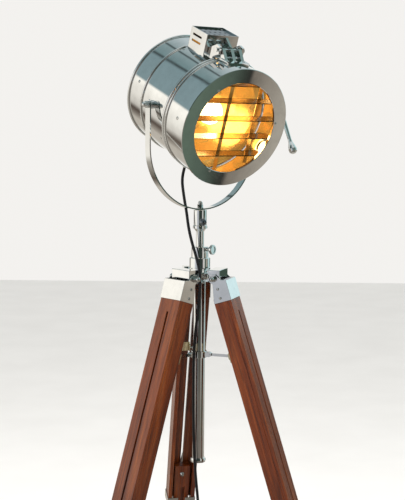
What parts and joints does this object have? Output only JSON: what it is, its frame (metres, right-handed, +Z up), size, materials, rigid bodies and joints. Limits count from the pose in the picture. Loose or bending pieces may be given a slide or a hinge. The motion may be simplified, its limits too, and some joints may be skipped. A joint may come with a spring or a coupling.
{
  "type": "tripod floor lamp",
  "caption": "Tripod floor lamp: tilting searchlight head with a louvred door in a U-yoke, on a telescopic mast and folding wooden legs with sliding lower sections.",
  "frame": {"origin": "centre of the footprint of the three feet, on the floor", "axes": "+Z up; the open front of the lamp head faces -Y and +X; -Y is the side it is seen from"},
  "size_m": [0.7189, 0.6928, 1.6757],
  "materials": {
    "chrome": "polished",
    "plated_hardware": "polished",
    "louvre_metal": "satin",
    "mirror_bowl": "polished",
    "bulb": "gloss",
    "bulb_base": "satin",
    "mahogany": "satin",
    "shoe_rubber": "matte",
    "cord_sheath": "satin",
    "plug_plastic": "matte"
  },
  "bodies": {
    "root": {"hub_casting": "chrome", "lower_collar": "chrome", "mast_collar": "chrome", "outer_tube": "chrome", "tube_end_ring": "chrome", "hinge_studs": "plated_hardware", "hinge_acorn_nuts": "plated_hardware", "cord_run": "cord_sheath", "cord_coil": "cord_sheath", "mains_plug": "plug_plastic"},
    "mast": {"inner_mast": "chrome", "cord_mast_drop": "cord_sheath"},
    "mast_thumb": {"mast_thumbscrew": "chrome"},
    "yoke": {"pan_socket": "chrome", "yoke_strip": "chrome", "yoke_foot_nut": "plated_hardware", "cord_yoke_drop": "cord_sheath"},
    "pan_knob": {"pan_lock_knob": "chrome"},
    "head": {"drum_shell": "chrome", "rear_cap": "chrome", "vent_box": "chrome", "vent_lid": "chrome", "reflector": "mirror_bowl", "lamp_holder": "plated_hardware", "bulb_glass": "bulb", "bulb_cap": "bulb_base", "pivot_bolts": "plated_hardware", "cord_gland": "chrome", "hinge_leaf_drum": "chrome", "cord_head_drop": "cord_sheath"},
    "door": {"front_housing": "chrome", "bezel_ring": "chrome", "louvre": "louvre_metal", "hinge_leaf_door": "chrome"},
    "lever": {"tilt_lever": "chrome"},
    "spreader": {"spreader_collar": "chrome"},
    "leg_right": {"leg_channel_right": "mahogany", "leg_cap_right": "chrome", "leg_band_right": "chrome", "spreader_bracket_right": "chrome"},
    "shin_right": {"lower_leg_right": "mahogany", "foot_tip_right": "shoe_rubber"},
    "clamp_right": {"clamp_screw_right": "plated_hardware"},
    "arm_right": {"spreader_arm_right": "chrome"},
    "leg_rear": {"leg_channel_rear": "mahogany", "leg_cap_rear": "chrome", "leg_band_rear": "chrome", "spreader_bracket_rear": "chrome"},
    "shin_rear": {"lower_leg_rear": "mahogany", "foot_tip_rear": "shoe_rubber"},
    "clamp_rear": {"clamp_screw_rear": "plated_hardware"},
    "arm_rear": {"spreader_arm_rear": "chrome"},
    "leg_left": {"leg_channel_left": "mahogany", "leg_cap_left": "chrome", "leg_band_left": "chrome", "spreader_bracket_left": "chrome"},
    "shin_left": {"lower_leg_left": "mahogany", "foot_tip_left": "shoe_rubber"},
    "clamp_left": {"clamp_screw_left": "plated_hardware"},
    "arm_left": {"spreader_arm_left": "chrome"}
  },
  "joints": [
    {"name": "mast_slide", "type": "slide", "parent": "root", "child": "mast", "axis": [0, 0, 1], "range_m": [-0.035, 0.2], "deforming": ["cord_mast_drop"]},
    {"name": "mast_thumb_turn", "type": "hinge", "parent": "root", "child": "mast_thumb", "pos_m": [-0.03783, -0.06454, 1.156], "axis": [0.8192, -0.5736, 0], "range_deg": [-180, 180]},
    {"name": "yoke_pan", "type": "hinge", "parent": "mast", "child": "yoke", "pos_m": [-0.03783, -0.06454, 1.23], "axis": [0, 0, 1], "range_deg": [-170, 170], "deforming": ["cord_yoke_drop"]},
    {"name": "pan_knob_turn", "type": "hinge", "parent": "yoke", "child": "pan_knob", "pos_m": [-0.03783, -0.06454, 1.222], "axis": [0.225, -0.9744, 0], "range_deg": [-180, 180]},
    {"name": "head_tilt", "type": "hinge", "parent": "yoke", "child": "head", "pos_m": [-0.03783, -0.06454, 1.4945], "axis": [0.83, 0.5577, 0], "range_deg": [-60, 40], "deforming": ["cord_head_drop"]},
    {"name": "door_swing", "type": "hinge", "parent": "head", "child": "door", "pos_m": [0.02559, -0.15892, 1.61688], "axis": [-0.83, -0.5577, 0], "range_deg": [0, 65]},
    {"name": "tilt_lever_turn", "type": "hinge", "parent": "head", "child": "lever", "pos_m": [-0.03783, -0.06454, 1.4945], "axis": [0.83, 0.5577, 0], "range_deg": [-30, 60]},
    {"name": "spreader_slide", "type": "slide", "parent": "root", "child": "spreader", "axis": [0, 0, 1], "range_m": [0, 0.0541]},
    {"name": "fold_right", "type": "hinge", "parent": "root", "child": "leg_right", "pos_m": [0.00567, -0.07952, 1.09], "axis": [0.3256, 0.9455, 0], "range_deg": [0, 17.5]},
    {"name": "shin_slide_right", "type": "slide", "parent": "leg_right", "child": "shin_right", "axis": [-0.2843, 0.0979, 0.9537], "range_m": [-0.05, 0.435]},
    {"name": "clamp_turn_right", "type": "hinge", "parent": "shin_right", "child": "clamp_right", "pos_m": [0.16944, -0.13591, 0.54066], "axis": [0.9018, -0.3105, 0.3007], "range_deg": [-180, 180]},
    {"name": "arm_turn_right", "type": "hinge", "parent": "spreader", "child": "arm_right", "pos_m": [-0.0123, -0.07333, 0.90233], "axis": [0.3256, 0.9455, 0], "range_deg": [0, 92.6]},
    {"name": "fold_rear", "type": "hinge", "parent": "root", "child": "leg_rear", "pos_m": [-0.0466, -0.01939, 1.09], "axis": [-0.9816, -0.1908, 0], "range_deg": [0, 17.5]},
    {"name": "shin_slide_rear", "type": "slide", "parent": "leg_rear", "child": "shin_rear", "axis": [0.0574, -0.2952, 0.9537], "range_m": [-0.05, 0.435]},
    {"name": "clamp_turn_rear", "type": "hinge", "parent": "shin_rear", "child": "clamp_rear", "pos_m": [-0.07965, 0.15064, 0.54066], "axis": [-0.182, 0.9362, 0.3007], "range_deg": [-180, 180]},
    {"name": "arm_turn_rear", "type": "hinge", "parent": "spreader", "child": "arm_rear", "pos_m": [-0.04298, -0.03804, 0.90233], "axis": [-0.9816, -0.1908, 0], "range_deg": [0, 92.6]},
    {"name": "fold_left", "type": "hinge", "parent": "root", "child": "leg_left", "pos_m": [-0.07254, -0.09472, 1.09], "axis": [0.6561, -0.7547, 0], "range_deg": [0, 17.5]},
    {"name": "shin_slide_left", "type": "slide", "parent": "leg_left", "child": "shin_left", "axis": [0.2269, 0.1973, 0.9537], "range_m": [-0.05, 0.435]},
    {"name": "clamp_turn_left", "type": "hinge", "parent": "shin_left", "child": "clamp_left", "pos_m": [-0.20326, -0.20836, 0.54066], "axis": [-0.7198, -0.6257, 0.3007], "range_deg": [-180, 180]},
    {"name": "arm_turn_left", "type": "hinge", "parent": "spreader", "child": "arm_left", "pos_m": [-0.0582, -0.08226, 0.90233], "axis": [0.6561, -0.7547, 0], "range_deg": [0, 92.6]}
  ],
  "couplings": [
    {"joint": "arm_turn_right", "follows": "fold_right", "ratio": 5.2857},
    {"joint": "fold_rear", "follows": "fold_right", "ratio": 1},
    {"joint": "arm_turn_rear", "follows": "fold_right", "ratio": 5.2857},
    {"joint": "fold_left", "follows": "fold_right", "ratio": 1},
    {"joint": "arm_turn_left", "follows": "fold_right", "ratio": 5.2857},
    {"joint": "spreader_slide", "follows": "fold_right", "m_per_rad": 0.1768}
  ]
}
